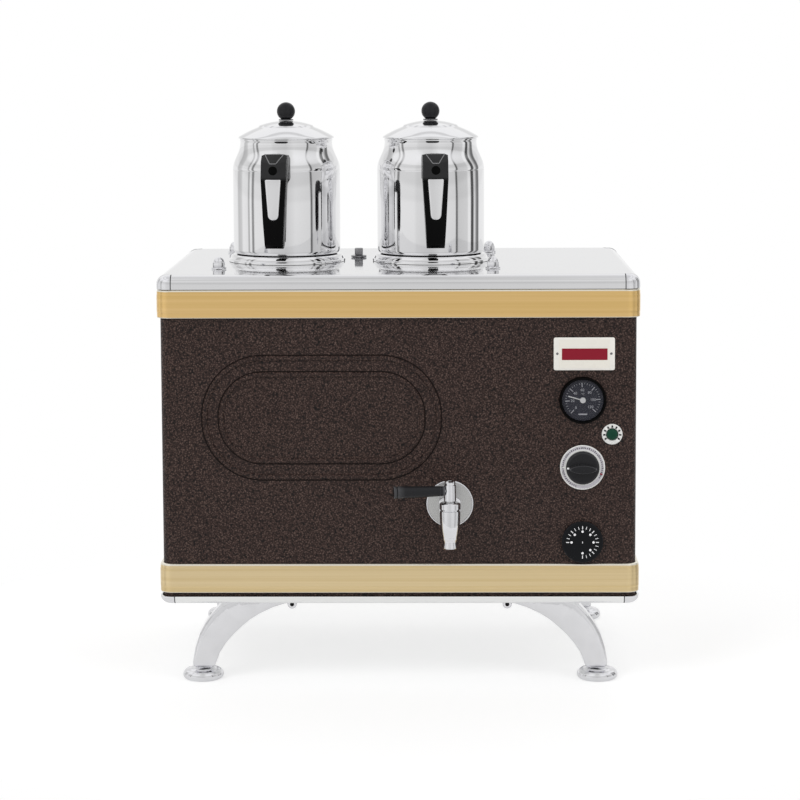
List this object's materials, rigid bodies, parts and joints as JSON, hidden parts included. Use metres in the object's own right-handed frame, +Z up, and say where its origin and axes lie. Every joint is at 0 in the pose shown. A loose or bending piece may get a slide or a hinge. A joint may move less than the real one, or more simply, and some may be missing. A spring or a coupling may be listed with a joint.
{
  "type": "tea urn",
  "caption": "Electric tea boiler: a water cabinet on cast legs with a front plug tap, thermostat and thermometer, and lidded teapots standing in steam collars on top.",
  "frame": {"origin": "centre of the overall box at floor level, under the foot pads", "axes": "+Z up, -Y towards the front with the tap and dials, +X to the right seen from the front"},
  "size_m": [0.5, 0.4142, 0.605],
  "materials": {
    "brown_enamel": "brown hammered enamel",
    "gold_trim": "gold anodised, brushed lengthways",
    "polished_steel": "polished stainless steel",
    "chrome_plate": "chrome plated",
    "brushed_steel": "brushed stainless steel",
    "galvanised_sheet": "galvanised",
    "copper_sheath": "dull copper",
    "black_bakelite": "glossy moulded bakelite",
    "white_plastic": "satin white plastic",
    "plate_metal": "printed aluminium plate",
    "green_lens": "green jewel lens",
    "dial_glass": "clear glass",
    "black_rubber": "matt rubber"
  },
  "bodies": {
    "cabinet": {"cabinet_shell": "brown_enamel", "rear_panel": "galvanised_sheet", "upper_trim_band": "gold_trim", "lower_trim_band": "gold_trim", "top_cover": "polished_steel", "top_corner_cap_front_left": "chrome_plate", "top_corner_cap_front_right": "chrome_plate", "top_corner_cap_rear_left": "chrome_plate", "top_corner_cap_rear_right": "chrome_plate", "base_tray": "polished_steel", "cable_gland": "black_rubber", "terminal_block": "white_plastic", "leg_front_left": "chrome_plate", "leg_front_right": "chrome_plate", "leg_rear_left": "chrome_plate", "leg_rear_right": "chrome_plate", "foot_pad_front_left": "chrome_plate", "foot_pad_front_right": "chrome_plate", "foot_pad_rear_left": "chrome_plate", "foot_pad_rear_right": "chrome_plate", "water_tank": "brushed_steel", "heating_element": "copper_sheath", "element_gasket": "black_rubber", "element_nut": "brushed_steel", "pot_collar_left": "polished_steel", "pot_collar_right": "polished_steel", "cap_nut_front_left": "chrome_plate", "cap_nut_front_right": "chrome_plate", "cap_nut_rear_left": "chrome_plate", "cap_nut_rear_right": "chrome_plate", "tap_flange": "brushed_steel", "tap_gasket": "black_rubber", "tap_back_nut": "chrome_plate", "tap_body": "chrome_plate", "tap_packing_nut": "chrome_plate", "thermometer_case": "black_bakelite", "thermometer_glass": "dial_glass", "lamp_housing": "white_plastic", "lamp_lens": "green_lens", "thermostat_body": "galvanised_sheet", "thermostat_scale_ring": "white_plastic", "switch_body": "galvanised_sheet", "name_plate": "plate_metal"},
    "pot_left": {"pot_body_left": "polished_steel", "pot_handle_left": "black_bakelite", "handle_insert_left": "polished_steel"},
    "lid_left": {"pot_lid_left": "polished_steel", "lid_knob_left": "black_bakelite"},
    "pot_right": {"pot_body_right": "polished_steel", "pot_handle_right": "black_bakelite", "handle_insert_right": "polished_steel"},
    "lid_right": {"pot_lid_right": "polished_steel", "lid_knob_right": "black_bakelite"},
    "filler": {"filler_plug": "chrome_plate"},
    "tap_lever": {"tap_plug": "brushed_steel", "tap_lever_head": "chrome_plate", "tap_grip": "black_bakelite"},
    "thermostat_control": {"thermostat_knob": "black_bakelite"},
    "switch_control": {"switch_dial": "black_bakelite"},
    "needle": {"thermometer_needle": "white_plastic"}
  },
  "joints": [
    {"name": "pot_left_lift", "type": "slide", "parent": "cabinet", "child": "pot_left", "axis": [0, 0, 1], "range_m": [0, 0.12]},
    {"name": "lid_left_lift", "type": "slide", "parent": "pot_left", "child": "lid_left", "axis": [0, 0, 1], "range_m": [0, 0.06]},
    {"name": "pot_right_lift", "type": "slide", "parent": "cabinet", "child": "pot_right", "axis": [0, 0, 1], "range_m": [0, 0.12]},
    {"name": "lid_right_lift", "type": "slide", "parent": "pot_right", "child": "lid_right", "axis": [0, 0, 1], "range_m": [0, 0.06]},
    {"name": "filler_plug_lift", "type": "slide", "parent": "cabinet", "child": "filler", "axis": [0, 0, 1], "range_m": [0, 0.05]},
    {"name": "tap_lever_turn", "type": "hinge", "parent": "cabinet", "child": "tap_lever", "pos_m": [0.053, -0.18995, 0.2053], "axis": [0, 0, 1], "range_deg": [0, 90]},
    {"name": "thermostat_turn", "type": "hinge", "parent": "cabinet", "child": "thermostat_control", "pos_m": [0.1904, -0.155, 0.2308], "axis": [0, 1, 0], "range_deg": [0, 210]},
    {"name": "switch_turn", "type": "hinge", "parent": "cabinet", "child": "switch_control", "pos_m": [0.1904, -0.152, 0.1527], "axis": [0, 1, 0], "range_deg": [0, 270]},
    {"name": "needle_turn", "type": "hinge", "parent": "cabinet", "child": "needle", "pos_m": [0.1904, -0.153, 0.301], "axis": [0, 1, 0], "range_deg": [-64, 206]}
  ]
}
